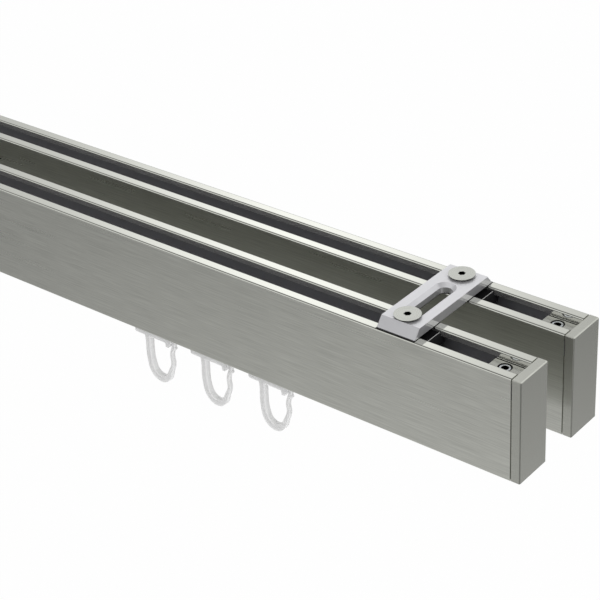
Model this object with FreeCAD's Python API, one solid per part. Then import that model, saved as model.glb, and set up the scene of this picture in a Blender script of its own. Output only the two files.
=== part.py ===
import FreeCAD, Part
import math
import os

# Double curtain track. X runs along the rails, Y from the front run to the rear run, Z is up.
# The origin is midway between the rails and midway along them, in the plane of the screw
# heads' flat tops, which is the plane that meets the ceiling.

# Rails: extruded aluminium, a nut channel on top and a runner channel below
rail_length = 593.2
rail_width = 14.0
rail_height = 35.4
rail_wall = 1.4
rail_edge_radius = 0.6
rail_base_radius = 0.4
rail_pitch = 28.0
nut_lip_thickness = 2.1
nut_slot_width = 6.8
nut_channel_depth = 5.0
web_thickness = 1.3
runner_lip_thickness = 1.5
runner_slot_width = 5.0
runner_channel_height = 6.5
runner_lip_radius = 0.2

# End caps: a block as large as the profile, with a tongue in the nut channel
cap_thickness = 3.4
cap_edge_break = 0.3
cap_shadow_gap = 0.4
cap_shadow_depth = 0.55
tongue_length = 11.3
tongue_thickness = 3.0
tongue_side_gap = 0.3
tongue_top_gap = 0.1
tongue_pad_width = 5.0
tongue_groove_width = 0.85
tongue_groove_depth = 1.0
tongue_groove_from_cap = 1.0
tongue_edge_break = 0.3

# Grub screws that wedge each tongue against the channel floor
grub_diameter = 4.0
grub_from_cap = 6.5
grub_recess = 0.15
grub_socket = 2.0
grub_socket_depth = 1.5
grub_edge_break = 0.3

# Cross plates: flat bar with sloped ends, an adjusting slot in front and a hole behind
plate_inset = 43.75
plate_width = 13.8
plate_thickness = 3.3
plate_overhang = 0.75
plate_end_run = 2.6
plate_edge_break = 0.15
plate_slot_reach = 19.0
plate_slot_chamfer = 1.2

# Countersunk screws that pull the plates down on the slot nuts, their heads proud of the plate
screw_diameter = 4.0
screw_head_diameter = 8.4
screw_head_rim = 0.1
screw_socket = 2.05
screw_socket_depth = 1.7
socket_turn = 40.0
screw_past_nut = 0.4
screw_hole_gap = 0.35
seat_gap = 0.03

# Slot nuts under the lips of the nut channel
nut_length = 19.0
nut_thickness = 3.0
nut_side_gap = 0.3
nut_collar_drop = 0.7
nut_collar_gap = 0.2
nut_edge_break = 0.3
thread_gap = 0.05

# Gliders: a runner head in the lower channel, a neck through the slot and a hook below
glider_pitch = 25.3
front_group_from_end = 96.35
rear_glider_spread = 198.0
glider_count = 3
head_length = 14.0
head_side_gap = 0.8
head_thickness = 1.6
head_corner = 1.2
head_lift = 0.2
runner_rib_width = 0.9
runner_rib_height = 0.4
neck_length = 7.0
neck_side_gap = 0.5
neck_below_rail = 0.9
neck_fillet = 1.6
bar_length = 16.3
bar_drop = 4.1
bar_height = 2.4
bar_corner = 0.4
glider_thickness = 2.2
nub_start = 5.4
nub_width = 1.5
nub_drop = 1.6
nub_slope = 1.25
nub_draft = 0.3

# Hook: a leg, a round bottom and a thinner springy arm whose tip closes against the bar
hook_leg_x = -3.05
hook_leg_lean = 0.45
hook_leg_drop = 17.5
hook_drop = 23.6
hook_bottom_x = 2.3
hook_turn_x = 4.95
hook_leg_width = 1.95
hook_bottom_width = 2.25
arc_tolerance = 0.08
arm_root_width = 1.5
arm_width = 1.0
arm_thickness = 1.5
arm_bulge_x = 7.65
arm_bulge_drop = 14.2
arm_bow_x = 0.03
arm_bow_rise = 0.3
arm_waist_x = 7.45
arm_waist_drop = 11.3
arm_tip_x = 9.3
arm_tip_drop = 5.2
arm_curl_x = 1.15
arm_curl_drop = 0.4
arm_taper_before = 1.0
arm_taper_after = 1.6
tip_bead_radius = 0.7
tip_bead_inset = 0.55
tip_bead_drop = 8.1

hole_radius = screw_diameter / 2 + screw_hole_gap
seat_radius = hole_radius + plate_slot_chamfer - seat_gap
plate_top = seat_radius - screw_head_diameter / 2 - screw_head_rim
plate_under = plate_top - plate_thickness
rail_top = plate_under
rail_bottom = rail_top - rail_height
rail_end = rail_length / 2
channel_width = rail_width - 2 * rail_wall
lip_under = rail_top - nut_lip_thickness
nut_floor = lip_under - nut_channel_depth
runner_lip_top = rail_bottom + runner_lip_thickness
runner_roof = runner_lip_top + runner_channel_height
rail_ys = {"front": -rail_pitch / 2, "rear": rail_pitch / 2}
end_signs = {"right": 1, "left": -1}
through = 1.0


def vec(x, y, z):
    return FreeCAD.Vector(x, y, z)


def block(x0, x1, y0, y1, z0, z1):
    return Part.makeBox(x1 - x0, y1 - y0, z1 - z0, vec(x0, y0, z0))


def centred_block(x0, x1, y, width, z0, z1):
    return block(x0, x1, y - width / 2, y + width / 2, z0, z1)


def prism_along_y(points, y, thickness):
    """A flat outline in the XZ plane, thickened evenly about the plane at y."""
    corners = [vec(x, y - thickness / 2, z) for x, z in points]
    face = Part.Face(Part.makePolygon(corners + corners[:1]))
    return face.extrude(vec(0, thickness, 0))


def hex_prism(x, y, top, across_flats, depth):
    """A hexagonal socket that opens upwards at top."""
    radius = across_flats / 2 / math.cos(math.pi / 6)
    turns = [math.radians(socket_turn + 60 * k) for k in range(6)]
    corners = [vec(x + radius * math.cos(t), y + radius * math.sin(t), top - depth) for t in turns]
    return Part.Face(Part.makePolygon(corners + corners[:1])).extrude(vec(0, 0, depth + through))


def long_edges(shape, places):
    """The edges of shape that run along X through any of the (y, z) places."""
    found = []
    for edge in shape.Edges:
        a = edge.Vertexes[0].Point
        b = edge.Vertexes[-1].Point
        along_x = abs(a.y - b.y) < 1e-6 and abs(a.z - b.z) < 1e-6 and abs(a.x - b.x) > 1e-3
        if along_x and any(abs(a.y - y) < 1e-4 and abs(a.z - z) < 1e-4 for y, z in places):
            found.append(edge)
    return found


def upright_edges(shape, places):
    """The edges of shape that run along Z through any of the (x, y) places."""
    found = []
    for edge in shape.Edges:
        a = edge.Vertexes[0].Point
        b = edge.Vertexes[-1].Point
        along_z = abs(a.x - b.x) < 1e-6 and abs(a.y - b.y) < 1e-6 and abs(a.z - b.z) > 1e-3
        if along_z and any(abs(a.x - x) < 1e-4 and abs(a.y - y) < 1e-4 for x, y in places):
            found.append(edge)
    return found


def make_rail(y):
    """One profile: nut channel, closed middle chamber and runner channel."""
    x0 = -rail_end
    x1 = rail_end
    shape = centred_block(x0, x1, y, rail_width, rail_bottom, rail_top)
    half = rail_width / 2
    for z, radius in ((rail_top, rail_edge_radius), (rail_bottom, rail_base_radius)):
        shape = shape.makeFillet(radius, long_edges(shape, [(y - half, z), (y + half, z)]))
    x0 -= through
    x1 += through
    hollows = [
        centred_block(x0, x1, y, channel_width, nut_floor, lip_under),
        centred_block(x0, x1, y, nut_slot_width, lip_under - through, rail_top + through),
        centred_block(x0, x1, y, channel_width, runner_roof + web_thickness, nut_floor - web_thickness),
        centred_block(x0, x1, y, channel_width, runner_lip_top, runner_roof),
        centred_block(x0, x1, y, runner_slot_width, rail_bottom - through, runner_lip_top + through),
    ]
    for hollow in hollows:
        shape = shape.cut(hollow)
    half = nut_slot_width / 2
    shape = shape.makeFillet(rail_edge_radius, long_edges(shape, [(y - half, rail_top), (y + half, rail_top)]))
    half = runner_slot_width / 2
    edges = long_edges(shape, [(y - half, rail_bottom), (y + half, rail_bottom)])
    return shape.makeFillet(runner_lip_radius, edges)


def make_end_cap(y, side):
    """A chamfered end block with a shadow gap at its joint and a grooved tongue under the lips."""
    face = side * rail_end
    outer = side * (rail_end + cap_thickness)
    half = rail_width / 2
    shape = centred_block(min(face, outer), max(face, outer), y, rail_width, rail_bottom, rail_top)
    edges = [e for e in shape.Edges if abs(e.CenterOfMass.x - face) > 1e-3]
    shape = shape.makeChamfer(cap_edge_break, edges)
    gap_x = face + side * cap_shadow_gap
    near = min(face, gap_x)
    far = max(face, gap_x)
    band = centred_block(near, far, y, rail_width + 2 * through, rail_bottom - through, rail_top + through)
    land = block(
        near, far,
        y - half + cap_shadow_depth, y + half - cap_shadow_depth,
        rail_bottom + cap_shadow_depth, rail_top - cap_shadow_depth,
    )
    shape = shape.cut(band.cut(land))
    tip = face - side * tongue_length
    t0 = min(tip, face + side * cap_shadow_gap)
    t1 = max(tip, face + side * cap_shadow_gap)
    top = lip_under - tongue_top_gap
    bottom = top - tongue_thickness
    width = channel_width - 2 * tongue_side_gap
    tongue = centred_block(t0, t1, y, width, bottom, top)
    root = face - side * tongue_groove_from_cap
    g0 = min(tip - side * through, root)
    g1 = max(tip - side * through, root)
    for s in (-1, 1):
        groove_y = y + s * (tongue_pad_width + tongue_groove_width) / 2
        groove = centred_block(
            g0, g1, groove_y, tongue_groove_width, top - tongue_groove_depth, top + through
        )
        tongue = tongue.cut(groove)
    tongue = tongue.makeChamfer(tongue_edge_break, [
        e for e in tongue.Edges
        if abs(e.CenterOfMass.x - tip) < 1e-3 and abs(e.CenterOfMass.z - bottom) < 1e-3
    ])
    shape = shape.fuse(tongue).removeSplitter()
    x = face - side * grub_from_cap
    radius = grub_diameter / 2 + thread_gap
    return shape.cut(Part.makeCylinder(radius, tongue_thickness + 2 * through, vec(x, y, bottom - through)))


def make_grub_screw(y, side):
    """A headless screw that stands on the channel floor, with a hex socket on top."""
    x = side * (rail_end - grub_from_cap)
    radius = grub_diameter / 2
    top = lip_under - tongue_top_gap - grub_recess
    screw = Part.makeCylinder(radius, top - nut_floor, vec(x, y, nut_floor))
    rim = [e for e in screw.Edges if abs(e.CenterOfMass.z - top) < 1e-4]
    screw = screw.makeChamfer(grub_edge_break, rim)
    return screw.cut(hex_prism(x, y, top, grub_socket, grub_socket_depth))


def plate_centre(side):
    return side * (rail_end + cap_thickness - plate_inset)


def sunk_hole(x, y):
    """The countersink and clearance hole that the rear plate screw drops through."""
    height = plate_thickness + 2 * through
    hole = Part.makeCylinder(hole_radius, height, vec(x, y, plate_under - through))
    low = vec(x, y, plate_top - plate_slot_chamfer)
    wide = hole_radius + plate_slot_chamfer
    return hole.fuse(Part.makeCone(hole_radius, wide, plate_slot_chamfer, low))


def stadium(x, y0, y1, radius, z):
    """A slot's outline along Y at height z, with round ends centred at y0 and y1."""
    a = vec(x - radius, y0, z)
    b = vec(x - radius, y1, z)
    c = vec(x + radius, y1, z)
    d = vec(x + radius, y0, z)
    return Part.Wire([
        Part.LineSegment(a, b).toShape(),
        Part.Arc(b, vec(x, y1 + radius, z), c).toShape(),
        Part.LineSegment(c, d).toShape(),
        Part.Arc(d, vec(x, y0 - radius, z), a).toShape(),
    ])


def adjusting_slot(x):
    """The long slot that starts at the front screw, chamfered all round its top."""
    y0 = rail_ys["front"]
    y1 = y0 + plate_slot_reach
    slot = Part.Face(stadium(x, y0, y1, hole_radius, plate_under - through))
    slot = slot.extrude(vec(0, 0, plate_thickness + 2 * through))
    low = stadium(x, y0, y1, hole_radius, plate_top - plate_slot_chamfer)
    high = stadium(x, y0, y1, hole_radius + plate_slot_chamfer, plate_top)
    chamfer = Part.makeLoft([low, high], True, True)
    return slot.fuse(chamfer)


def make_cross_plate(side):
    """A flat bar across both rails, sloped at its ends and with its side edges broken."""
    x = plate_centre(side)
    reach = (rail_pitch + rail_width) / 2 - plate_overhang
    outline = [
        (-reach, plate_under),
        (reach, plate_under),
        (reach - plate_end_run, plate_top),
        (-reach + plate_end_run, plate_top),
    ]
    corners = [vec(x - plate_width / 2, y, z) for y, z in outline]
    shape = Part.Face(Part.makePolygon(corners + corners[:1])).extrude(vec(plate_width, 0, 0))
    side_edges = [e for e in shape.Edges if abs(abs(e.CenterOfMass.x - x) - plate_width / 2) < 1e-4]
    shape = shape.makeChamfer(plate_edge_break, side_edges)
    return shape.cut(adjusting_slot(x)).cut(sunk_hole(x, rail_ys["rear"]))


def make_plate_screw(y, side):
    """A thin rim over a cone that bears on the countersink, and a shank into the nut."""
    x = plate_centre(side)
    radius = screw_diameter / 2
    head_radius = screw_head_diameter / 2
    tip = lip_under - nut_thickness - screw_past_nut
    cone_depth = head_radius - radius
    shank_top = -screw_head_rim - cone_depth
    rim = Part.makeCylinder(head_radius, screw_head_rim, vec(x, y, -screw_head_rim))
    cone = Part.makeCone(radius, head_radius, cone_depth, vec(x, y, shank_top))
    shank = Part.makeCylinder(radius, shank_top - tip, vec(x, y, tip))
    screw = rim.fuse([cone, shank]).removeSplitter()
    return screw.cut(hex_prism(x, y, 0, screw_socket, screw_socket_depth))


def make_slot_nut(y, side):
    """A nut that slides under the lips, with a collar that fills the slot between them."""
    x = plate_centre(side)
    x0 = x - nut_length / 2
    x1 = x + nut_length / 2
    body = centred_block(
        x0, x1, y, channel_width - 2 * nut_side_gap, lip_under - nut_thickness, lip_under
    )
    collar_top = rail_top - nut_collar_drop
    collar = centred_block(x0, x1, y, nut_slot_width - 2 * nut_collar_gap, lip_under, collar_top)
    ends = [e for e in collar.Edges if abs(e.CenterOfMass.z - collar_top) < 1e-4]
    collar = collar.makeChamfer(nut_edge_break, ends)
    nut = body.fuse(collar).removeSplitter()
    radius = screw_diameter / 2 + thread_gap
    height = nut_thickness + nut_lip_thickness + 2 * through
    return nut.cut(Part.makeCylinder(radius, height, vec(x, y, lip_under - nut_thickness - through)))


def hook_path():
    """The hook's middle line in the glider's own X and in height below the rail."""
    low = hook_drop - hook_bottom_width / 2
    side = hook_drop - hook_leg_drop
    points = [
        (hook_leg_x, bar_drop + bar_height / 2),
        (hook_leg_x + hook_leg_lean / 2, (bar_drop + bar_height + hook_leg_drop) / 2),
        (hook_leg_x + hook_leg_lean, hook_leg_drop),
        (hook_leg_x + hook_leg_lean + 0.25 * side, hook_leg_drop + 0.6 * side),
        (hook_bottom_x, low),
        (hook_turn_x, low - 0.22 * side),
        ((hook_turn_x + arm_bulge_x) / 2 + arm_bow_x, (low + arm_bulge_drop) / 2 - arm_bow_rise),
        (arm_bulge_x, arm_bulge_drop),
        (arm_waist_x, arm_waist_drop),
        (arm_tip_x - arm_curl_x, (arm_waist_drop + arm_tip_drop) / 2 + arm_curl_drop),
        (arm_tip_x, arm_tip_drop),
    ]
    curve = Part.BSplineCurve()
    curve.interpolate([vec(x, 0, rail_bottom - drop) for x, drop in points])
    return curve


def hook_half_width(share):
    """Half the hook's width along its path: thickest at the bottom, thin on the arm."""
    stations = [
        (0.0, hook_leg_width), (0.32, hook_leg_width), (0.50, hook_bottom_width),
        (0.66, arm_root_width), (0.80, arm_width), (1.0, arm_width),
    ]
    for (start, near), (end, far) in zip(stations, stations[1:]):
        if share <= end:
            return (near + (far - near) * (share - start) / (end - start)) / 2
    return arm_width / 2


def hook_edge(curve, side):
    """One edge of the hook, half the local width from its middle line, as smooth arcs."""
    points = []
    steps = 26
    for k in range(steps + 1):
        u = curve.FirstParameter + (curve.LastParameter - curve.FirstParameter) * k / steps
        point = curve.value(u)
        tangent = curve.tangent(u)[0]
        across = vec(-tangent.z, 0, tangent.x)
        points.append(point + across * (side * hook_half_width(k / steps)))
    edge = Part.BSplineCurve()
    edge.interpolate(points)
    arcs = [arc.toShape() for arc in edge.toBiArcs(arc_tolerance)]
    return arcs, points


def make_hook(x, y):
    """The hook as one flat band whose arm is also thinner from front to back."""
    curve = hook_path()
    inner, inner_points = hook_edge(curve, 1)
    outer, outer_points = hook_edge(curve, -1)
    tip = curve.value(curve.LastParameter)
    ahead = curve.tangent(curve.LastParameter)[0]
    crown = tip + ahead * (arm_width / 2)
    crown_arc = Part.Arc(inner_points[-1], crown, outer_points[-1]).toShape()
    butt = Part.LineSegment(outer_points[0], inner_points[0]).toShape()
    band = Part.Face(Part.Wire(inner + [crown_arc] + outer[::-1] + [butt]))
    band.translate(vec(x, y - glider_thickness / 2, 0))
    band = band.extrude(vec(0, glider_thickness, 0))
    full = glider_thickness / 2 + through
    thin = arm_thickness / 2
    x_wide = x + hook_turn_x - arm_taper_before
    x_thin = x + hook_turn_x + arm_taper_after
    x_end = x + arm_tip_x + 2 * through
    for s in (-1, 1):
        plan = [
            vec(x_wide, y + s * glider_thickness / 2, 0),
            vec(x_thin, y + s * thin, 0),
            vec(x_end, y + s * thin, 0),
            vec(x_end, y + s * full, 0),
            vec(x_wide, y + s * full, 0),
        ]
        wedge = Part.Face(Part.makePolygon(plan + plan[:1]))
        wedge.translate(vec(0, 0, rail_bottom - hook_drop - through))
        band = band.cut(wedge.extrude(vec(0, 0, hook_drop + through)))
    bead = Part.makeCylinder(
        tip_bead_radius, arm_thickness,
        vec(x + arm_tip_x - tip_bead_inset, y - arm_thickness / 2, rail_bottom - tip_bead_drop),
        vec(0, 1, 0),
    )
    return band.fuse(bead)


def make_glider(x, y):
    """Runner head, neck, bar, nub and hook, moulded as one piece."""
    head_bottom = runner_lip_top + head_lift + runner_rib_height
    head_width = channel_width - 2 * head_side_gap
    head = centred_block(
        x - head_length / 2, x + head_length / 2, y, head_width,
        head_bottom, head_bottom + head_thickness,
    )
    corners = [(x + i * head_length / 2, y + j * head_width / 2) for i in (-1, 1) for j in (-1, 1)]
    head = head.makeChamfer(head_corner, upright_edges(head, corners))
    parts = []
    rib_y = (runner_slot_width + channel_width) / 4
    for s in (-1, 1):
        rib = centred_block(
            x - head_length / 2 + head_corner, x + head_length / 2 - head_corner,
            y + s * rib_y, runner_rib_width, head_bottom - runner_rib_height, head_bottom,
        )
        parts.append(rib)
    bar_top = rail_bottom - bar_drop
    bar_bottom = bar_top - bar_height
    parts.append(centred_block(
        x - neck_length / 2, x + neck_length / 2, y, runner_slot_width - 2 * neck_side_gap,
        rail_bottom - neck_below_rail, head_bottom,
    ))
    web = centred_block(
        x - neck_length / 2, x + neck_length / 2, y, glider_thickness, bar_top, head_bottom
    )
    bar = centred_block(x - bar_length / 2, x + bar_length / 2, y, glider_thickness, bar_bottom, bar_top)
    blade = bar.fuse(web).removeSplitter()
    inside = [
        e for e in blade.Edges
        if abs(e.CenterOfMass.z - bar_top) < 1e-4 and abs(abs(e.CenterOfMass.x - x) - neck_length / 2) < 1e-4
    ]
    blade = blade.makeFillet(neck_fillet, inside)
    ends = [
        e for e in blade.Edges
        if abs(abs(e.CenterOfMass.x - x) - bar_length / 2) < 1e-4
        and abs(e.Vertexes[0].Point.z - e.Vertexes[-1].Point.z) < 1e-6
        and abs(e.Vertexes[0].Point.x - e.Vertexes[-1].Point.x) < 1e-6
    ]
    blade = blade.makeChamfer(bar_corner, ends)
    parts.append(blade)
    nub = prism_along_y([
        (x + nub_start, bar_bottom + bar_height / 2),
        (x + nub_start + nub_draft, bar_bottom - nub_drop),
        (x + nub_start + nub_width, bar_bottom - nub_drop),
        (x + nub_start + nub_width + nub_slope, bar_bottom + bar_height / 2),
    ], y, glider_thickness)
    parts.append(nub)
    parts.append(make_hook(x, y))
    return head.fuse(parts).removeSplitter()


def glider_places():
    """Each glider's name, X and Y: the front ones in a group, the rear ones spread out."""
    places = {}
    for k in range(glider_count):
        group_x = rail_end - front_group_from_end - (glider_count - 1 - k) * glider_pitch
        places[f"front_glider_{k + 1}"] = (group_x, rail_ys["front"])
        spread_x = (k - (glider_count - 1) / 2) * rear_glider_spread
        places[f"rear_glider_{k + 1}"] = (spread_x, rail_ys["rear"])
    return places


def make_nodes():
    nodes = {}
    for run, y in rail_ys.items():
        nodes[f"{run}_rail"] = make_rail(y)
        for end, side in end_signs.items():
            nodes[f"{run}_{end}_end_cap"] = make_end_cap(y, side)
            nodes[f"{run}_{end}_cap_screw"] = make_grub_screw(y, side)
            nodes[f"{run}_{end}_plate_screw"] = make_plate_screw(y, side)
            nodes[f"{run}_{end}_slot_nut"] = make_slot_nut(y, side)
    for end, side in end_signs.items():
        nodes[f"{end}_cross_plate"] = make_cross_plate(side)
    for name, (x, y) in glider_places().items():
        nodes[name] = make_glider(x, y)
    return nodes


os.makedirs("parts", exist_ok=True)
for name, shape in make_nodes().items():
    solids = shape.Solids
    if len(solids) != 1 or not shape.isValid():
        raise ValueError(f"{name} has {len(solids)} solids, valid {shape.isValid()}")
    solids[0].exportStep(f"parts/{name}.step")
    print(name, round(solids[0].Volume, 2), len(solids[0].Faces))
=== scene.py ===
import math

import bpy
from bpy.props import FloatProperty, FloatVectorProperty, PointerProperty
from mathutils import Matrix, Vector


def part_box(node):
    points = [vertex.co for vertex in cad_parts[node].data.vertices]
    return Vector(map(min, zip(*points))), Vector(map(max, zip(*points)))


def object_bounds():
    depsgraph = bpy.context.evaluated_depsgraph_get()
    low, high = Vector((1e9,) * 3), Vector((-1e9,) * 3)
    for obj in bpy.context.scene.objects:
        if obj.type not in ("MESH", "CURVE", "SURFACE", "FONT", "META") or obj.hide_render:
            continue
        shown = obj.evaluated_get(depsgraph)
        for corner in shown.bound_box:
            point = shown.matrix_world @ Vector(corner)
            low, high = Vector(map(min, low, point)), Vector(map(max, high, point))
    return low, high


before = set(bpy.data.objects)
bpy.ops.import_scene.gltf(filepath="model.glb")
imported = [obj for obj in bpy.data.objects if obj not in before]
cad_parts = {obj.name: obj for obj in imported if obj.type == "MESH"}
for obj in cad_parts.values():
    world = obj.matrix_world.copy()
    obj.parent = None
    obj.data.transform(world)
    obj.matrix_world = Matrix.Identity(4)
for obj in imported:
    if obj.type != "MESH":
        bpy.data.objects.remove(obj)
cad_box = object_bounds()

bl_info = {
    "name": "Double Curtain Track",
    "version": (1, 0, 0),
    "blender": (4, 5, 0),
    "location": "3D View > Sidebar > Curtain Track",
    "description": "Dresses a ceiling-fixed double curtain track and sets its stage",
    "category": "Object",
}

RUNS = ("front", "rear")
ENDS = ("right", "left")
GLIDERS = (1, 2, 3)

rail_low, rail_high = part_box("rear_rail")
plate_low, plate_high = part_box("right_cross_plate")
grub_low, grub_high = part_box("rear_right_cap_screw")
nut_low, nut_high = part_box("rear_right_slot_nut")

# Sizes and places read from the frame, in metres.
RUN_Y = (rail_low.y + rail_high.y) / 2
RAIL_HALF_WIDTH = (rail_high.y - rail_low.y) / 2
RAIL_TOP = rail_high.z
RAIL_BOTTOM = rail_low.z
RAIL_END = rail_high.x
CAP_END = cad_box[1].x
CHANNEL_FLOOR = grub_low.z
GRUB_X = (grub_low.x + grub_high.x) / 2
GRUB_TOP = grub_high.z
PLATE_X = (plate_low.x + plate_high.x) / 2
PLATE_HALF_WIDTH = (plate_high.x - plate_low.x) / 2
HEAD_TOP = cad_box[1].z
NUT_TOP = nut_high.z
NUT_HALF_LENGTH = (nut_high.x - nut_low.x) / 2

# Sizes of features within a piece, in metres.
LIP_UNDER = GRUB_TOP + 0.00025
SLOT_HALF_WIDTH = 0.0034
LIP_SIDE_STARTS = (0.0004, 0.0006)
PLATE_SLOPE_FROM = plate_high.y - 0.0026
PAD_HALF_WIDTH = 0.0025
TONGUE_HOLE_RADIUS = 0.00225
SOCKET_RIM_RADIUS = 0.00145
SOCKET_RIM_HALF_WIDTH = 0.00028
NUT_EDGE_LENGTH = 0.0003
NUT_EDGE_HEIGHT = 0.00008
NEAR_RAIL_BAND = (RAIL_BOTTOM - 0.0040, RAIL_BOTTOM - 0.0025)

# How far a mask's limit stands off the face or edge that it follows, in metres.
RAIL_MARGIN = 0.00005
FACE_MARGIN = 0.0001
CHAMFER_MARGIN = 0.00015
CONTACT_SHADOW_MARGIN = 0.0002
SUNK_MARGIN = 0.0003
GROOVE_MARGIN = 0.00035

# Upward parts of a face's normal that tell its tilt.
UPRIGHT_BELOW = 0.1
LEVEL_ABOVE = 0.9

# How far towards the front or back a glider's face or moulded edge is turned.
GLIDER_TURN_BAND = (0.5, 0.9)
GLIDER_EDGE_TURN = 0.70
GLIDER_EDGE_BAND = (0.12, 0.28)

# The levels of a noise that a mark starts and ends at.
NOISE_MIDDLE = 0.5
LINE_BAND = (0.25, 0.75)
RING_BAND = (0.3, 0.7)
SMUDGE_BAND = (0.35, 0.70)
SPECK_BAND = (0.62, 0.72)
STREAK_SCALE = (0.35, 0.16, 0.16)
SPECKS_PER_SMUDGE = 14.0

# The darkest and lightest shade in a finish, as factors of its colour.
PROFILE_SHADES = (0.88, 1.10)
CAP_SHADES = (0.87, 0.98)
PLATE_SHADES = (0.97, 1.03)
HEAD_SHADES = (0.93, 1.06)
GRUB_SHADES = (0.9, 1.08)
NUT_SHADES = (0.8, 1.4)
GLIDER_SHADES = (0.985, 1.015)

# Painted shade, below 1, and painted light and highlights, above 1, on one feature, as a factor of
# its finish's colour.
RAIL_CONTACT_SHADOW = 0.08
TONGUE_SHADE = 0.75
TONGUE_FLANK_LIGHT = 1.9
TONGUE_GROOVE_AND_HOLE_SHADOW = 0.05
CAP_END_SHADE = 0.95
COUNTERSINK_SHADE = 0.88
PLATE_SLOPE_SHADE = 0.60
PLATE_CUT_SHADE = 0.70
PLATE_CONTACT_SHADOW = 0.05
HEAD_RIM_SHADE = 0.06
SOCKET_SHADE = 0.04
GLIDER_FLANK_LIGHT = 1.22
GLIDER_EDGE_HIGHLIGHT = 1.58
GLIDER_TOP_LIGHT = 1.40

# Roughness: the middle and spread where it swings, low and high where it spans.
DRAWN_SPREAD = 0.08
LIP_SPREAD = 0.03
CHANNEL_ROUGHNESS = 0.60
LIP_SIDE_ROUGHNESS = 0.06
CAP_SWING = (0.245, 0.05)
PLATE_SWING = (0.45, 0.06)
PLATE_CUT_ROUGHNESS = 0.14
HEAD_ROUGHNESS = (0.26, 0.36)
GRUB_ROUGHNESS = (0.14, 0.24)
NUT_ROUGHNESS = (0.65, 0.75)
GLIDER_ROUGHNESS = (0.32, 0.40)

# How metallic a finish or one of its features is.
PROFILE_METALLIC = 1.0
PROFILE_INWARD_METALLIC = 0.96
LIP_SIDE_METALLIC = 0.90
CAP_METALLIC = 0.97
CAP_INWARD_METALLIC = 0.82
TONGUE_FLANK_METALLIC = 0.0
PLATE_METALLIC = 0.7
PLATE_CUT_METALLIC = 0.6

# Depths of the finest marks, in metres.
PROFILE_LINE_DEPTH = 0.000012
CAP_LINE_DEPTH = 0.00001
PLATE_SPECK_DEPTH = 0.000004
HEAD_RING_DEPTH = 0.00001
NUT_SPECK_DEPTH = 0.000006
GLIDER_SKIN_DEPTH = 0.00001

# The lip side colour is a painted highlight that stands in for the lips' bright reflection.
LIP_SIDE_HIGHLIGHT_COLOUR = (0.85, 0.85, 0.82, 1.0)
NUT_END_COLOUR = (0.02, 0.02, 0.021, 1.0)
NUT_EDGE_HIGHLIGHT_COLOUR = (0.62, 0.62, 0.61, 1.0)
FLOOR_COLOUR = (0.88, 0.88, 0.88, 1.0)
WHITE = (1.0, 1.0, 1.0, 1.0)

SENSOR_WIDTH = 36.0
KEY_PLACE = (1.3, -0.7, 0.35)
KEY_TARGET = (0.2, 0.0, -0.02)
KEY_SIDE = 1.0
FLOOR_HALF_SIDE = 6.0
FLOOR_BRIGHT_SPOT = (0.15, 0.0, 0.0)
FLOOR_DARK_SPOT = (0.80, -0.45, 0.0)
FLOOR_WHITE_SHARE = 0.96
ROOM_PATCH_TOWARD = (-0.5625, 0.6590, 0.4946)
ROOM_GLINT_TOWARD = (0.62, 0.65, 0.44)
SQUARE_ON_LEVEL = 0.80
NODE_STEP = 180


class TrackFinishes(bpy.types.PropertyGroup):
    """Colours and roughness of the metal and plastic finishes."""

    profile_colour: FloatVectorProperty(
        name="Profile", description="Drawn aluminium of the rails",
        subtype="COLOR", size=3, min=0.0, max=1.0, default=(0.500, 0.506, 0.467),
    )
    # Painted shade: this darker grey stands in for the shadow inside the rails' nut channels.
    channel_shade_colour: FloatVectorProperty(
        name="Nut channel", description="Dull grey of the rails' nut channels",
        subtype="COLOR", size=3, min=0.0, max=1.0, default=(0.35, 0.35, 0.365),
    )
    cap_colour: FloatVectorProperty(
        name="End cap", description="Milled aluminium of the end caps",
        subtype="COLOR", size=3, min=0.0, max=1.0, default=(0.424, 0.429, 0.392),
    )
    plate_colour: FloatVectorProperty(
        name="Cross plate", description="Pale satin metal of the cross plates",
        subtype="COLOR", size=3, min=0.0, max=1.0, default=(0.785, 0.785, 0.806),
    )
    head_colour: FloatVectorProperty(
        name="Screw head", description="Plated steel of the flat screw heads",
        subtype="COLOR", size=3, min=0.0, max=1.0, default=(0.515, 0.525, 0.490),
    )
    steel_colour: FloatVectorProperty(
        name="Grub screw", description="Bright steel of the grub screws",
        subtype="COLOR", size=3, min=0.0, max=1.0, default=(0.40, 0.42, 0.43),
    )
    nut_colour: FloatVectorProperty(
        name="Slot nut", description="Black plastic of the slot nuts",
        subtype="COLOR", size=3, min=0.0, max=1.0, default=(0.003, 0.003, 0.0035),
    )
    glider_colour: FloatVectorProperty(
        name="Glider", description="Milky plastic of the gliders",
        subtype="COLOR", size=3, min=0.0, max=1.0, default=(0.62, 0.62, 0.62),
    )
    drawn_roughness: FloatProperty(
        name="Drawn face roughness", description="Roughness of the rails' drawn side faces",
        subtype="FACTOR", min=0.0, max=1.0, default=0.30,
    )
    lip_roughness: FloatProperty(
        name="Lip roughness", description="Roughness of the rails' bright lips and inner faces",
        subtype="FACTOR", min=0.0, max=1.0, default=0.10,
    )


class TrackSoftening(bpy.types.PropertyGroup):
    """Small rounded edges that the mouldings and screws have."""

    glider_edge: FloatProperty(
        name="Glider edge", description="Width of the rounding on the gliders' edges",
        subtype="DISTANCE", unit="LENGTH", min=0.0, max=0.001, default=0.00035,
    )
    head_edge: FloatProperty(
        name="Screw head edge", description="Width of the rounding on the screw heads' rims",
        subtype="DISTANCE", unit="LENGTH", min=0.0, max=0.001, default=0.00008,
    )


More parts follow.
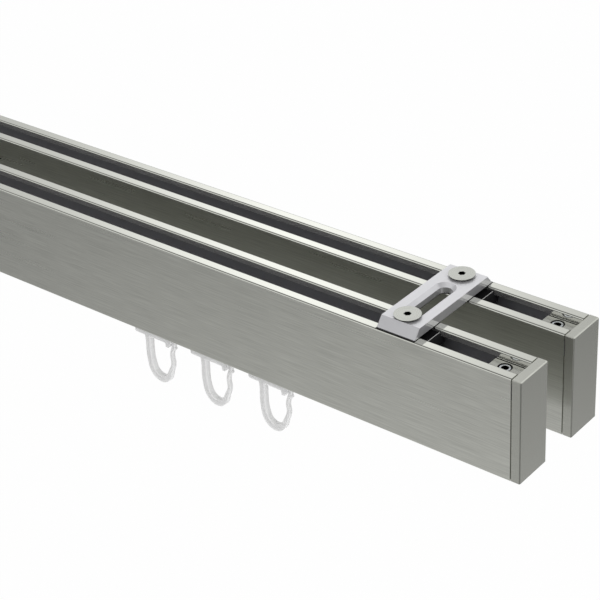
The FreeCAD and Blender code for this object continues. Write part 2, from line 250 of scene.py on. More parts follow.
class TrackStudio(bpy.types.PropertyGroup):
    """Camera, floor and light."""

    camera_place: FloatVectorProperty(
        name="Camera place", description="Where the camera stands",
        subtype="XYZ", unit="LENGTH", size=3, default=(0.519685, -0.368686, 0.272436),
    )
    camera_azimuth: FloatProperty(
        name="Camera azimuth", description="Turn of the view from +Y towards -X",
        subtype="ANGLE", unit="ROTATION", default=math.radians(40.6423),
    )
    camera_fall: FloatProperty(
        name="Camera fall", description="How far the view looks down",
        subtype="ANGLE", unit="ROTATION", default=math.radians(31.0792),
    )
    camera_roll: FloatProperty(
        name="Camera roll", description="Turn of the picture about the view",
        subtype="ANGLE", unit="ROTATION", default=math.radians(-3.4906),
    )
    focal_length: FloatProperty(
        name="Focal length", description="Focal length in mm for a 36 mm wide picture",
        min=10.0, max=500.0, default=106.391,
    )
    floor_drop: FloatProperty(
        name="Floor drop", description="How far the floor lies under the track",
        subtype="DISTANCE", unit="LENGTH", min=0.0, max=5.0, default=0.40,
    )
    key_light: FloatProperty(
        name="Key light", description="Power of the soft panel in front of the track",
        unit="POWER", min=0.0, default=3.0,
    )
    room_light: FloatProperty(
        name="Room light", description="Strength of the even light from all round",
        min=0.0, max=2.0, default=0.90,
    )


class Sheet:
    """Adds nodes to one node tree and links their sockets."""

    def __init__(self, tree):
        self.tree = tree
        self.column = 0

    def add(self, kind, inputs=None, **settings):
        node = self.tree.nodes.new(kind)
        node.location = (NODE_STEP * self.column, 0)
        self.column += 1
        for name, value in settings.items():
            setattr(node, name, value)
        self.fill(node, inputs or {})
        return node

    def fill(self, node, inputs):
        for key, value in inputs.items():
            self.feed(node.inputs[key], value)

    def feed(self, socket, value):
        """Links a socket, or sets a plain value."""
        if isinstance(value, bpy.types.NodeSocket):
            self.tree.links.new(value, socket)
        else:
            socket.default_value = value

    def group(self, group, inputs):
        node = self.add("ShaderNodeGroup", node_tree=group)
        self.fill(node, inputs)
        return node.outputs

    def coordinates(self, kind):
        return self.add("ShaderNodeTexCoord").outputs[kind]

    def parts(self, vector):
        """X, Y and Z of a vector."""
        return self.add("ShaderNodeSeparateXYZ", {0: vector}).outputs

    def noise(self, place, scale, detail, roughness=0.5):
        node = self.add(
            "ShaderNodeTexNoise",
            {"Vector": place, "Scale": scale, "Detail": detail, "Roughness": roughness},
        )
        return node.outputs[0]

    def vector(self, operation, a, b):
        node = self.add("ShaderNodeVectorMath", {0: a, 1: b}, operation=operation)
        return node.outputs[0]

    def measure(self, operation, a, b=(0.0, 0.0, 0.0)):
        """A vector operation that gives one number."""
        node = self.add("ShaderNodeVectorMath", {0: a, 1: b}, operation=operation)
        return node.outputs["Value"]

    def math(self, operation, a, b=0.0):
        node = self.add("ShaderNodeMath", {0: a, 1: b}, operation=operation)
        return node.outputs[0]

    def above(self, value, limit):
        return self.math("GREATER_THAN", value, limit)

    def below(self, value, limit):
        return self.math("LESS_THAN", value, limit)

    def both(self, a, b):
        return self.math("MULTIPLY", a, b)

    def either(self, a, b):
        return self.math("MAXIMUM", a, b)

    def outside(self, mask):
        return self.math("SUBTRACT", 1.0, mask)

    def off(self, value, middle):
        """How far a value is from its middle, either way."""
        return self.math("ABSOLUTE", self.math("SUBTRACT", value, middle))

    def span(self, value, low, high, to_low=0.0, to_high=1.0):
        """Maps low..high to to_low..to_high, held at both ends."""
        node = self.add(
            "ShaderNodeMapRange", {0: value, 1: low, 2: high, 3: to_low, 4: to_high}, clamp=True
        )
        return node.outputs[0]

    def swing(self, noise, middle, spread):
        """A value that follows a noise about its middle."""
        return self.math("ADD", self.math("MULTIPLY", noise, spread), middle - spread / 2)

    def mix(self, share, a, b):
        """Blends two numbers."""
        node = self.add("ShaderNodeMix", data_type="FLOAT")
        for socket, value in zip((node.inputs[0], node.inputs[2], node.inputs[3]), (share, a, b)):
            self.feed(socket, value)
        return node.outputs[0]

    def tint(self, share, a, b):
        """Blends two colours."""
        node = self.add("ShaderNodeMix", data_type="RGBA", blend_type="MIX")
        for socket, value in zip((node.inputs[0], node.inputs[6], node.inputs[7]), (share, a, b)):
            self.feed(socket, value)
        return node.outputs[2]

    def bump(self, height, distance):
        node = self.add(
            "ShaderNodeBump", {"Height": height, "Distance": distance, "Strength": 1.0}
        )
        return node.outputs[0]


def start_group(name, inputs, outputs):
    """A shader node group with the named sockets, and its sheet, input and output nodes."""
    group = bpy.data.node_groups.new(name, "ShaderNodeTree")
    for label, kind, value in inputs:
        socket = group.interface.new_socket(label, in_out="INPUT", socket_type=kind)
        socket.default_value = value
    for label, kind in outputs:
        group.interface.new_socket(label, in_out="OUTPUT", socket_type=kind)
    sheet = Sheet(group)
    return group, sheet, sheet.add("NodeGroupInput").outputs, sheet.add("NodeGroupOutput")


def drawn_grain_group():
    """Fine broken lines, long one way and narrow the other two ways."""
    name = "Drawn Grain"
    if name in bpy.data.node_groups:
        return bpy.data.node_groups[name]
    group, sheet, given, result = start_group(
        name,
        [
            ("Vector", "NodeSocketVector", (0.0, 0.0, 0.0)),
            ("Line Pitch", "NodeSocketVector", (0.02, 0.0004, 0.0004)),
            ("Contrast", "NodeSocketFloat", 1.0),
        ],
        [("Lines", "NodeSocketFloat"), ("Streaks", "NodeSocketFloat")],
    )
    place = sheet.vector("DIVIDE", given["Vector"], given["Line Pitch"])
    fine = sheet.noise(place, scale=1.0, detail=3.0, roughness=0.65)
    wide = sheet.noise(sheet.vector("MULTIPLY", place, STREAK_SCALE), scale=1.0, detail=2.0)
    for label, noise in (("Lines", fine), ("Streaks", wide)):
        level = sheet.math("SUBTRACT", noise, NOISE_MIDDLE)
        level = sheet.math("MULTIPLY", level, given["Contrast"])
        sheet.feed(result.inputs[label], sheet.math("ADD", level, NOISE_MIDDLE))
    return group


def run_place_group():
    """Folds both runs and both ends of the track onto one, so one mask serves them all."""
    name = "Run Place"
    if name in bpy.data.node_groups:
        return bpy.data.node_groups[name]
    group, sheet, given, result = start_group(
        name,
        [("Vector", "NodeSocketVector", (0.0, 0.0, 0.0)), ("Run Y", "NodeSocketFloat", RUN_Y)],
        [
            ("Along", "NodeSocketFloat"), ("Across", "NodeSocketFloat"),
            ("Aside", "NodeSocketFloat"), ("Height", "NodeSocketFloat"),
        ],
    )
    parts = sheet.parts(given["Vector"])
    across = sheet.math("SUBTRACT", sheet.math("ABSOLUTE", parts[1]), given["Run Y"])
    sheet.fill(result, {
        "Along": sheet.math("ABSOLUTE", parts[0]),
        "Across": across,
        "Aside": sheet.math("ABSOLUTE", across),
        "Height": parts[2],
    })
    return group


def turned_rings_group():
    """Uneven lathe rings about an upright axis, and the distance from it."""
    name = "Turned Rings"
    if name in bpy.data.node_groups:
        return bpy.data.node_groups[name]
    group, sheet, given, result = start_group(
        name,
        [
            ("Along", "NodeSocketFloat", 0.0),
            ("Across", "NodeSocketFloat", 0.0),
            ("Centre Along", "NodeSocketFloat", PLATE_X),
            ("Ring Pitch", "NodeSocketFloat", 0.00022),
        ],
        [("Rings", "NodeSocketFloat"), ("Radius", "NodeSocketFloat")],
    )
    offset = sheet.math("SUBTRACT", given["Along"], given["Centre Along"])
    flat = sheet.add("ShaderNodeCombineXYZ", {0: offset, 1: given["Across"]}).outputs[0]
    radius = sheet.measure("LENGTH", flat)
    turns = sheet.math("DIVIDE", radius, given["Ring Pitch"])
    rings = sheet.add(
        "ShaderNodeTexNoise", {"W": turns, "Scale": 1.0, "Detail": 2.0}, noise_dimensions="1D"
    )
    sheet.fill(result, {"Rings": rings.outputs[0], "Radius": radius})
    return group


def handling_marks_group():
    """Faint smudges and specks that handled metal and plastic pick up."""
    name = "Handling Marks"
    if name in bpy.data.node_groups:
        return bpy.data.node_groups[name]
    group, sheet, given, result = start_group(
        name,
        [
            ("Vector", "NodeSocketVector", (0.0, 0.0, 0.0)),
            ("Smudge Size", "NodeSocketFloat", 0.012),
        ],
        [("Smudges", "NodeSocketFloat"), ("Specks", "NodeSocketFloat")],
    )
    scale = sheet.math("DIVIDE", 1.0, given["Smudge Size"])
    soft = sheet.noise(given["Vector"], scale, detail=3.0)
    fine_scale = sheet.math("MULTIPLY", scale, SPECKS_PER_SMUDGE)
    grit = sheet.noise(given["Vector"], fine_scale, detail=1.0)
    sheet.fill(result, {
        "Smudges": sheet.span(soft, *SMUDGE_BAND),
        "Specks": sheet.span(grit, *SPECK_BAND),
    })
    return group


def start_material(name, colour):
    """An empty material with its sheet, object coordinates and Principled shader."""
    material = bpy.data.materials.new(name)
    material.use_nodes = True
    material.diffuse_color = (*colour, 1.0)
    material.node_tree.nodes.clear()
    sheet = Sheet(material.node_tree)
    place = sheet.coordinates("Object")
    shader = sheet.add("ShaderNodeBsdfPrincipled")
    sheet.add("ShaderNodeOutputMaterial", {"Surface": shader.outputs[0]})
    return material, sheet, place, shader


def shade(colour, factor=1.0):
    return (*(channel * factor for channel in colour), 1.0)


def varied(sheet, share, colour, dark, light):
    """A colour that goes between two shades of itself."""
    return sheet.tint(share, shade(colour, dark), shade(colour, light))


def place_on_run(sheet, place):
    return sheet.group(run_place_group(), {"Vector": place})


def handling_marks(sheet, place, smudge_size):
    return sheet.group(handling_marks_group(), {"Vector": place, "Smudge Size": smudge_size})


def profile_metal(finishes):
    """Aluminium drawn along X: brushed on its outer sides, bright on its lips and inside, with
    painted shade in its nut channel, a painted highlight on the lips' inner sides and a painted
    shadow where the cross plates sit.
    """
    colour = finishes.profile_colour
    material, sheet, place, shader = start_material("Drawn profile", colour)
    run = place_on_run(sheet, place)
    marks = handling_marks(sheet, place, smudge_size=0.03)
    grain = sheet.group(
        drawn_grain_group(),
        {"Vector": place, "Line Pitch": (0.016, 0.00035, 0.00035), "Contrast": 1.6},
    )

    depth = sheet.math("SUBTRACT", RAIL_TOP, run["Height"])
    side = sheet.above(run["Aside"], RAIL_HALF_WIDTH - RAIL_MARGIN)
    inward = sheet.below(run["Across"], FACE_MARGIN - RAIL_HALF_WIDTH)
    under_lips = sheet.below(run["Height"], LIP_UNDER + RAIL_MARGIN)
    # Painted shade: the nut channel under the lips takes the darker channel colour.
    channel = sheet.both(under_lips, sheet.outside(side))
    channel = sheet.both(channel, sheet.above(run["Height"], CHANNEL_FLOOR - SUNK_MARGIN))
    # Painted highlight: the lips' inner sides take a pale colour in place of their bright
    # reflection.
    lip_side_highlight = sheet.both(sheet.span(depth, *LIP_SIDE_STARTS), sheet.outside(under_lips))
    lip_side_highlight = sheet.both(lip_side_highlight, sheet.below(run["Aside"], SLOT_HALF_WIDTH + CHAMFER_MARGIN))
    # Painted shadow: a dark line on the rail tops at the cross plates' feet, where their contact
    # shadow falls.
    by_plate = sheet.below(sheet.off(run["Along"], PLATE_X), PLATE_HALF_WIDTH + CONTACT_SHADOW_MARGIN)
    contact_shadow = sheet.both(by_plate, sheet.below(depth, FACE_MARGIN))

    brushed = varied(sheet, sheet.span(grain["Lines"], *LINE_BAND), colour, *PROFILE_SHADES)
    tone = sheet.tint(channel, shade(colour), shade(finishes.channel_shade_colour))
    tone = sheet.tint(lip_side_highlight, tone, LIP_SIDE_HIGHLIGHT_COLOUR)
    tone = sheet.tint(side, tone, brushed)
    tone = sheet.tint(contact_shadow, tone, shade(colour, RAIL_CONTACT_SHADOW))

    drawn = sheet.swing(grain["Streaks"], finishes.drawn_roughness, DRAWN_SPREAD)
    bright = sheet.swing(marks["Smudges"], finishes.lip_roughness, LIP_SPREAD)
    inner = sheet.mix(channel, bright, CHANNEL_ROUGHNESS)
    inner = sheet.mix(lip_side_highlight, inner, LIP_SIDE_ROUGHNESS)
    metallic = sheet.mix(inward, PROFILE_METALLIC, PROFILE_INWARD_METALLIC)
    sheet.fill(shader, {
        "Base Color": tone,
        "Roughness": sheet.mix(side, inner, drawn),
        "Metallic": sheet.mix(lip_side_highlight, metallic, LIP_SIDE_METALLIC),
        "Normal": sheet.bump(sheet.both(grain["Lines"], side), PROFILE_LINE_DEPTH),
    })
    return material


def cap_metal(finishes):
    """Milled aluminium of the end caps and their tongues, with painted shade on the tongues, end
    faces, grooves and screw holes, and painted light on the tongues' flanks.
    """
    colour = finishes.cap_colour
    material, sheet, place, shader = start_material("Milled cap", colour)
    run = place_on_run(sheet, place)
    marks = handling_marks(sheet, place, smudge_size=0.02)
    grain = sheet.group(
        drawn_grain_group(),
        {"Vector": place, "Line Pitch": (0.012, 0.0003, 0.0003), "Contrast": 1.2},
    )
    rings = sheet.group(
        turned_rings_group(),
        {"Along": run["Along"], "Across": run["Across"], "Centre Along": GRUB_X},
    )

    side = sheet.above(run["Aside"], RAIL_HALF_WIDTH - CHAMFER_MARGIN)
    inward = sheet.below(run["Across"], FACE_MARGIN - RAIL_HALF_WIDTH)
    # Painted shade: the caps' end faces are a little darker.
    end = sheet.above(run["Along"], CAP_END - FACE_MARGIN)
    # Painted shade: the tongue inside the rail is darker.
    tongue = sheet.below(run["Along"], RAIL_END)
    # Painted light: the tongue's flanks below its top are lighter and not metallic.
    lit_flank = sheet.both(tongue, sheet.below(run["Height"], LIP_UNDER - CHAMFER_MARGIN))
    # Painted shadow: the deep part of the tongue's groove and a ring round its screw hole are near
    # black.
    shaded_groove = sheet.both(tongue, sheet.below(run["Height"], LIP_UNDER - GROOVE_MARGIN))
    shaded_groove = sheet.both(shaded_groove, sheet.above(run["Aside"], PAD_HALF_WIDTH + FACE_MARGIN))
    shaded_hole = sheet.both(tongue, sheet.below(rings["Radius"], TONGUE_HOLE_RADIUS))

    milled = varied(sheet, sheet.span(grain["Lines"], *LINE_BAND), colour, *CAP_SHADES)
    tone = sheet.tint(tongue, shade(colour), shade(colour, TONGUE_SHADE))
    tone = sheet.tint(end, tone, shade(colour, CAP_END_SHADE))
    tone = sheet.tint(lit_flank, tone, shade(colour, TONGUE_FLANK_LIGHT))
    tone = sheet.tint(sheet.either(shaded_groove, shaded_hole), tone, shade(colour, TONGUE_GROOVE_AND_HOLE_SHADOW))
    tone = sheet.tint(side, tone, milled)

    metallic = sheet.mix(inward, CAP_METALLIC, CAP_INWARD_METALLIC)
    sheet.fill(shader, {
        "Base Color": tone,
        "Roughness": sheet.swing(marks["Smudges"], *CAP_SWING),
        "Metallic": sheet.mix(lit_flank, metallic, TONGUE_FLANK_METALLIC),
        "Normal": sheet.bump(sheet.both(grain["Lines"], side), CAP_LINE_DEPTH),
    })
    return material


def plate_metal(finishes):
    """Pale satin metal with painted shade on its slopes, countersink and cut sides, and a painted
    shadow along its foot.
    """
    colour = finishes.plate_colour
    material, sheet, place, shader = start_material("Satin plate", colour)
    marks = handling_marks(sheet, place, smudge_size=0.008)
    parts = sheet.parts(place)
    upward = sheet.parts(sheet.coordinates("Normal"))[2]

    # Painted shade: the plate's upright cut sides are darker.
    shaded_cut_side = sheet.below(sheet.math("ABSOLUTE", upward), UPRIGHT_BELOW)
    # Painted shade: faces tilted from level, such as the slot's countersink, are darker.
    shaded_tilt = sheet.below(upward, LEVEL_ABOVE)
    # Painted shade: the plate's sloped ends are darker.
    shaded_slope = sheet.above(sheet.math("ABSOLUTE", parts[1]), PLATE_SLOPE_FROM)
    # Painted shadow: a dark line along the plate's foot, where it sits on the rails.
    contact_shadow = sheet.below(parts[2], RAIL_TOP + CONTACT_SHADOW_MARGIN)

    tone = varied(sheet, marks["Smudges"], colour, *PLATE_SHADES)
    tone = sheet.tint(shaded_tilt, tone, shade(colour, COUNTERSINK_SHADE))
    tone = sheet.tint(shaded_slope, tone, shade(colour, PLATE_SLOPE_SHADE))
    tone = sheet.tint(shaded_cut_side, tone, shade(colour, PLATE_CUT_SHADE))
    tone = sheet.tint(contact_shadow, tone, shade(colour, PLATE_CONTACT_SHADOW))

    satin = sheet.swing(marks["Smudges"], *PLATE_SWING)
    sheet.fill(shader, {
        "Base Color": tone,
        "Roughness": sheet.mix(shaded_cut_side, satin, PLATE_CUT_ROUGHNESS),
        "Metallic": sheet.mix(shaded_cut_side, PLATE_METALLIC, PLATE_CUT_METALLIC),
        "Normal": sheet.bump(marks["Specks"], PLATE_SPECK_DEPTH),
    })
    return material


def head_metal(finishes):
    """Turned and plated steel of the flat heads, with painted shade below their tops."""
    colour = finishes.head_colour
    material, sheet, place, shader = start_material("Turned head", colour)
    run = place_on_run(sheet, place)
    rings = sheet.group(
        turned_rings_group(), {"Along": run["Along"], "Across": run["Across"]}
    )["Rings"]

    # Painted shade: everything below the head's flat top, its rim and socket, is near black.
    low = sheet.below(run["Height"], HEAD_TOP - FACE_MARGIN)
    turned = varied(sheet, sheet.span(rings, *RING_BAND), colour, *HEAD_SHADES)
    sheet.fill(shader, {
        "Base Color": sheet.tint(low, turned, shade(colour, HEAD_RIM_SHADE)),
        "Roughness": sheet.span(rings, *RING_BAND, *HEAD_ROUGHNESS),
        "Metallic": 1.0,
        "Normal": sheet.bump(rings, HEAD_RING_DEPTH),
    })
    return material


def grub_metal(finishes):
    """Bright steel with faint turning marks, with painted shade on all but the ring round its
    socket.
    """
    colour = finishes.steel_colour
    material, sheet, place, shader = start_material("Grub screw steel", colour)
    run = place_on_run(sheet, place)
    rings = sheet.group(
        turned_rings_group(),
        {
            "Along": run["Along"], "Across": run["Across"],
            "Centre Along": GRUB_X, "Ring Pitch": 0.0002,
        },
    )

    # Painted shade: the chamfer, sides and socket are near black, all but a ring round the socket.
    low = sheet.below(run["Height"], GRUB_TOP - SUNK_MARGIN)
    off_rim = sheet.above(sheet.off(rings["Radius"], SOCKET_RIM_RADIUS), SOCKET_RIM_HALF_WIDTH)
    dark = sheet.either(low, off_rim)
    turned = varied(sheet, sheet.span(rings["Rings"], *RING_BAND), colour, *GRUB_SHADES)
    sheet.fill(shader, {
        "Base Color": sheet.tint(dark, turned, shade(colour, SOCKET_SHADE)),
        "Roughness": sheet.span(rings["Rings"], *RING_BAND, *GRUB_ROUGHNESS),
        "Metallic": 1.0,
    })
    return material


def nut_plastic(finishes):
    """Dense black plastic with a faint grain and a painted highlight on its upper end edge."""
    colour = finishes.nut_colour
    material, sheet, place, shader = start_material("Slot nut black", colour)
    run = place_on_run(sheet, place)
    marks = handling_marks(sheet, place, smudge_size=0.004)

    outward = sheet.off(run["Along"], PLATE_X)
    end = sheet.above(outward, NUT_HALF_LENGTH - FACE_MARGIN)
    # Painted highlight: a thin pale line along the nut's upper end edge.
    edge = sheet.above(outward, NUT_HALF_LENGTH - NUT_EDGE_LENGTH)
    edge = sheet.both(edge, sheet.above(run["Height"], NUT_TOP - NUT_EDGE_HEIGHT))

    tone = varied(sheet, marks["Smudges"], colour, *NUT_SHADES)
    tone = sheet.tint(end, tone, NUT_END_COLOUR)
    sheet.fill(shader, {
        "Base Color": sheet.tint(edge, tone, NUT_EDGE_HIGHLIGHT_COLOUR),
        "Roughness": sheet.span(marks["Smudges"], 0.0, 1.0, *NUT_ROUGHNESS),
        "Specular IOR Level": 0.06,
        "Normal": sheet.bump(marks["Specks"], NUT_SPECK_DEPTH),
    })
    return material


def glider_plastic(finishes):
    """Milky translucent plastic, with painted highlights on its edges and painted light on its
    side faces and next to the rail.
    """
    colour = finishes.glider_colour
    material, sheet, place, shader = start_material("Milky glider", colour)
    marks = handling_marks(sheet, place, smudge_size=0.006)
    height = sheet.parts(place)[2]
    facing = sheet.math("ABSOLUTE", sheet.parts(sheet.coordinates("Normal"))[1])

    # Painted light: faces turned away from front and back are lighter.
    broad = sheet.span(facing, *GLIDER_TURN_BAND)
    # Painted highlight: a pale line on the rounded edges between the front and side faces.
    edge = sheet.span(sheet.off(facing, GLIDER_EDGE_TURN), *GLIDER_EDGE_BAND, 1.0, 0.0)
    # Painted light: the glider is lighter near the rail.
    lit_near_rail = sheet.span(height, *NEAR_RAIL_BAND)

    tone = varied(sheet, marks["Smudges"], colour, *GLIDER_SHADES)
    tone = sheet.tint(broad, shade(colour, GLIDER_FLANK_LIGHT), tone)
    tone = sheet.tint(edge, tone, shade(colour, GLIDER_EDGE_HIGHLIGHT))
    tone = sheet.tint(lit_near_rail, tone, shade(colour, GLIDER_TOP_LIGHT))
    sheet.fill(shader, {
        "Base Color": tone,
        "Roughness": sheet.span(marks["Smudges"], 0.0, 1.0, *GLIDER_ROUGHNESS),
        "Normal": sheet.bump(marks["Smudges"], GLIDER_SKIN_DEPTH),
        "Subsurface Weight": 1.0,
        "Subsurface Radius": (1.0, 1.0, 1.0),
        "Subsurface Scale": 0.004,
    })
    return material


def dress(names, material):
    """Gives CAD nodes one material in every slot."""
    for name in names:
        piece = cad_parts[name]
        if not piece.data.materials:
            piece.data.materials.append(material)
        for socket in piece.material_slots:
            socket.material = material


def soften(name, width):
    """Rounds a node's sharp edges a little."""
    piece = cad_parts[name]
    weld = piece.modifiers.new("Join corners", "WELD")
    weld.merge_threshold = 1e-6
    flatten = piece.modifiers.new("Clear flat faces", "DECIMATE")
    flatten.decimate_type = "DISSOLVE"
    flatten.angle_limit = math.radians(0.5)
    bevel = piece.modifiers.new("Round edges", "BEVEL")
    bevel.width = width
    bevel.segments = 2
    bevel.limit_method = "ANGLE"
    bevel.angle_limit = math.radians(35)
    bevel.harden_normals = True


def each_end(what):
    return [f"{run}_{end}_{what}" for run in RUNS for end in ENDS]


class TRACK_OT_rails(bpy.types.Operator):
    """Give both rails their drawn aluminium"""

    bl_idname = "curtain_track.rails"
    bl_label = "Rails"

    def execute(self, context):
        finishes = context.scene.track_finishes
        dress([f"{run}_rail" for run in RUNS], profile_metal(finishes))
        return {"FINISHED"}


class TRACK_OT_end_caps(bpy.types.Operator):
    """Give the end caps and their grub screws milled aluminium and bright steel"""

    bl_idname = "curtain_track.end_caps"
    bl_label = "End Caps"

    def execute(self, context):
        finishes = context.scene.track_finishes
        dress(each_end("end_cap"), cap_metal(finishes))
        dress(each_end("cap_screw"), grub_metal(finishes))
        return {"FINISHED"}


class TRACK_OT_cross_plates(bpy.types.Operator):
    """Give the cross plates satin metal, with their screws and nuts"""

    bl_idname = "curtain_track.cross_plates"
    bl_label = "Cross Plates"

    def execute(self, context):
        finishes = context.scene.track_finishes
        screws = each_end("plate_screw")
        dress([f"{end}_cross_plate" for end in ENDS], plate_metal(finishes))
        dress(screws, head_metal(finishes))
        dress(each_end("slot_nut"), nut_plastic(finishes))
        for name in screws:
            soften(name, context.scene.track_softening.head_edge)
        return {"FINISHED"}


class TRACK_OT_gliders(bpy.types.Operator):
    """Give the gliders milky plastic and moulded edges"""

    bl_idname = "curtain_track.gliders"
    bl_label = "Gliders"

    def execute(self, context):
        finishes = context.scene.track_finishes
        names = [f"{run}_glider_{number}" for run in RUNS for number in GLIDERS]
        dress(names, glider_plastic(finishes))
        for name in names:
            soften(name, context.scene.track_softening.glider_edge)
        return {"FINISHED"}


def place_camera(studio):
    """A camera that looks where the turn, fall and roll say."""
    azimuth = studio.camera_azimuth
    fall = studio.camera_fall
    roll = studio.camera_roll
    ahead = Vector((
        -math.sin(azimuth) * math.cos(fall), math.cos(azimuth) * math.cos(fall), -math.sin(fall),
    ))
    level = Vector((math.cos(azimuth), math.sin(azimuth), 0.0))
    above = level.cross(ahead)
    right = level * math.cos(roll) + above * math.sin(roll)
    up = right.cross(ahead)
    axes = Matrix((right, up, -ahead)).transposed()

    data = bpy.data.cameras.new("Camera")
    data.lens = studio.focal_length
    data.sensor_width = SENSOR_WIDTH
    data.sensor_fit = "HORIZONTAL"
    data.clip_start = 0.01
    data.clip_end = 50.0
    camera = bpy.data.objects.new("Camera", data)
    camera.matrix_world = Matrix.Translation(Vector(studio.camera_place)) @ axes.to_4x4()
    bpy.context.scene.collection.objects.link(camera)
    bpy.context.scene.camera = camera


def place_panel(name, place, target, side, power):
    """A soft square lamp that faces its target."""
    data = bpy.data.lights.new(name, "AREA")
    data.shape = "RECTANGLE"
    data.size = side
    data.size_y = side
    data.energy = power
    lamp = bpy.data.objects.new(name, data)
    lamp.location = place
    lamp.rotation_euler = (Vector(target) - Vector(place)).to_track_quat("-Z", "Y").to_euler()
    lamp.visible_camera = False
    lamp.visible_glossy = False
    bpy.context.scene.collection.objects.link(lamp)


def ray_masks(sheet):
    """1 for rays that see the background directly or mirrored, and 1 for mirror rays alone."""
    path = sheet.add("ShaderNodeLightPath").outputs
    clear = sheet.either(path["Is Camera Ray"], path["Is Transmission Ray"])
    return sheet.either(clear, path["Is Glossy Ray"]), path["Is Glossy Ray"]


def lay_floor(drop):
    """A pale floor that shows white, fades away from the track in the metal and keeps a shadow."""
    mesh = bpy.data.meshes.new("Floor")
    corners = [
        (x * FLOOR_HALF_SIDE, y * FLOOR_HALF_SIDE, 0.0)
        for x, y in ((-1, -1), (1, -1), (1, 1), (-1, 1))
    ]
    mesh.from_pydata(corners, [], [(0, 1, 2, 3)])
    floor = bpy.data.objects.new("Floor", mesh)
    floor.location = (0.0, 0.0, cad_box[0].z - drop)
    bpy.context.scene.collection.objects.link(floor)

    material = bpy.data.materials.new("Pale floor")
    material.use_nodes = True
    material.node_tree.nodes.clear()
    sheet = Sheet(material.node_tree)
    seen, mirrored = ray_masks(sheet)
    place = sheet.coordinates("Object")
    away = sheet.measure("DISTANCE", place, FLOOR_BRIGHT_SPOT)
    near = sheet.span(away, 0.0, 1.10, 1.29, 0.20)
    far = sheet.span(away, 1.07, 1.22, 0.0, 0.54)
    off_spot = sheet.measure("DISTANCE", place, FLOOR_DARK_SPOT)
    dark_spot = sheet.span(off_spot, 0.15, 0.30, 0.45, 1.0)
    fading = sheet.math("MULTIPLY", sheet.math("ADD", near, far), dark_spot)

    plain = sheet.add("ShaderNodeBsdfDiffuse", {"Color": FLOOR_COLOUR})
    white = sheet.add(
        "ShaderNodeEmission", {"Color": WHITE, "Strength": sheet.mix(mirrored, 1.0, fading)}
    )
    share = sheet.both(seen, sheet.mix(mirrored, FLOOR_WHITE_SHARE, 1.0))
    pale = sheet.add("ShaderNodeMixShader", {0: share, 1: plain.outputs[0], 2: white.outputs[0]})
    clear = sheet.add("ShaderNodeBsdfTransparent")
    below = sheet.add("ShaderNodeNewGeometry").outputs["Backfacing"]
    faces = sheet.add("ShaderNodeMixShader", {0: below, 1: pale.outputs[0], 2: clear.outputs[0]})
    sheet.add("ShaderNodeOutputMaterial", {"Surface": faces.outputs[0]})
    mesh.materials.append(material)


def glow(sheet, direction, centre, spread, strength):
    """A soft round patch of light in the room, brightest at its centre."""
    toward = sheet.measure("DOT_PRODUCT", direction, centre)
    off_centre = sheet.math("DIVIDE", sheet.math("SUBTRACT", toward, 1.0), spread)
    return sheet.math("MULTIPLY", sheet.math("EXPONENT", off_centre), strength)


def room_walls(sheet, direction):
    """How bright the room is each way in the metal.

    In front it has a bright band, overhead a dark strip, and square on to the track it is even.
    """
    x, y, z = sheet.parts(direction)
    off_band = sheet.off(z, 0.50)
    front_rise = sheet.span(z, 0.05, 0.30, 0.35, 0.86)
    front_band = sheet.span(off_band, 0.20, 0.28, 0.36, 0.0)
    back_rise = sheet.span(z, 0.0, 0.5, 0.465, 0.93)
    back_dip = sheet.span(z, 0.53, 0.58, 0.0, 0.1)
    front = sheet.math("ADD", front_rise, front_band)
    back = sheet.math("SUBTRACT", back_rise, back_dip)
    walls = sheet.mix(sheet.span(y, -0.3, 0.3), front, back)

    lean = sheet.math("ABSOLUTE", sheet.math("ARCTAN2", y, z))
    walls = sheet.math("MULTIPLY", walls, sheet.span(lean, 0.42, 0.60, 0.30, 1.0))

    aside = sheet.either(sheet.math("ABSOLUTE", x), sheet.math("ABSOLUTE", y))
    square_on = sheet.both(sheet.span(aside, 0.91, 0.96), sheet.span(z, 0.10, 0.30, 1.0, 0.0))
    square_on = sheet.either(square_on, sheet.span(z, 0.93, 0.97))
    return sheet.mix(square_on, walls, SQUARE_ON_LEVEL)


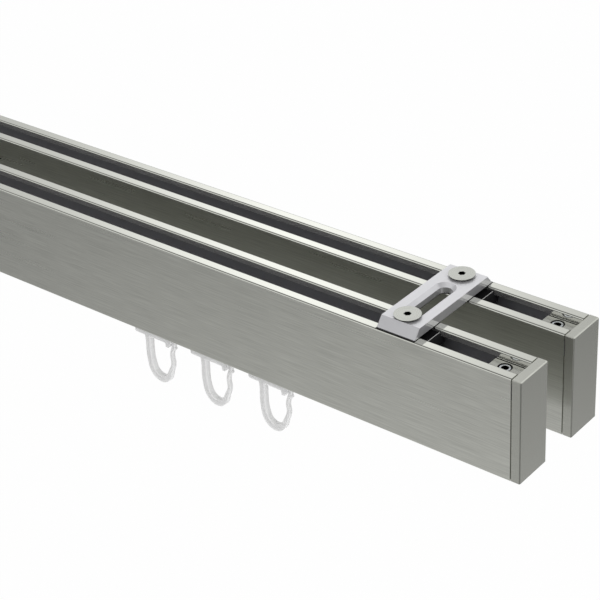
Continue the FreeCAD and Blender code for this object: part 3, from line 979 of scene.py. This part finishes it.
def light_room(strength):
    """Even light from all round, a white background, and a room for the metal to mirror."""
    world = bpy.data.worlds.new("Studio")
    world.use_nodes = True
    world.node_tree.nodes.clear()
    sheet = Sheet(world.node_tree)
    seen, mirrored = ray_masks(sheet)
    direction = sheet.coordinates("Generated")
    walls = room_walls(sheet, direction)
    patch = glow(sheet, direction, ROOM_PATCH_TOWARD, spread=0.0065, strength=1.40)
    glint = glow(sheet, direction, ROOM_GLINT_TOWARD, spread=0.02, strength=0.9)
    room = sheet.math("ADD", walls, sheet.math("ADD", patch, glint))
    level = sheet.mix(mirrored, sheet.mix(seen, strength, 1.0), room)
    sky = sheet.add("ShaderNodeBackground", {"Color": WHITE, "Strength": level})
    sheet.add("ShaderNodeOutputWorld", {"Surface": sky.outputs[0]})
    bpy.context.scene.world = world


class TRACK_OT_stage(bpy.types.Operator):
    """Set the camera, the pale floor and the soft studio light"""

    bl_idname = "curtain_track.stage"
    bl_label = "Stage"

    def execute(self, context):
        studio = context.scene.track_studio
        place_camera(studio)
        lay_floor(studio.floor_drop)
        light_room(studio.room_light)
        place_panel("Key panel", KEY_PLACE, KEY_TARGET, KEY_SIDE, studio.key_light)
        context.scene.view_settings.view_transform = "Standard"
        return {"FINISHED"}


class TRACK_PT_panel(bpy.types.Panel):
    """Lists the steps that dress the track"""

    bl_idname = "TRACK_PT_panel"
    bl_label = "Double Curtain Track"
    bl_space_type = "VIEW_3D"
    bl_region_type = "UI"
    bl_category = "Curtain Track"

    def draw(self, context):
        layout = self.layout
        for step in STEPS:
            layout.operator(step.bl_idname)
        scene = context.scene
        for group in (scene.track_finishes, scene.track_softening, scene.track_studio):
            box = layout.box()
            for name in group.__annotations__:
                box.prop(group, name)


STEPS = (
    TRACK_OT_rails, TRACK_OT_end_caps, TRACK_OT_cross_plates, TRACK_OT_gliders, TRACK_OT_stage,
)
CLASSES = (TrackFinishes, TrackSoftening, TrackStudio, *STEPS, TRACK_PT_panel)


def register():
    for cls in CLASSES:
        bpy.utils.register_class(cls)
    bpy.types.Scene.track_finishes = PointerProperty(type=TrackFinishes)
    bpy.types.Scene.track_softening = PointerProperty(type=TrackSoftening)
    bpy.types.Scene.track_studio = PointerProperty(type=TrackStudio)


def unregister():
    del bpy.types.Scene.track_studio
    del bpy.types.Scene.track_softening
    del bpy.types.Scene.track_finishes
    for cls in reversed(CLASSES):
        bpy.utils.unregister_class(cls)


def main():
    register()
    bpy.ops.curtain_track.rails()
    bpy.ops.curtain_track.end_caps()
    bpy.ops.curtain_track.cross_plates()
    bpy.ops.curtain_track.gliders()
    bpy.ops.curtain_track.stage()
    bpy.context.view_layer.update()


if __name__ == "__main__":
    main()
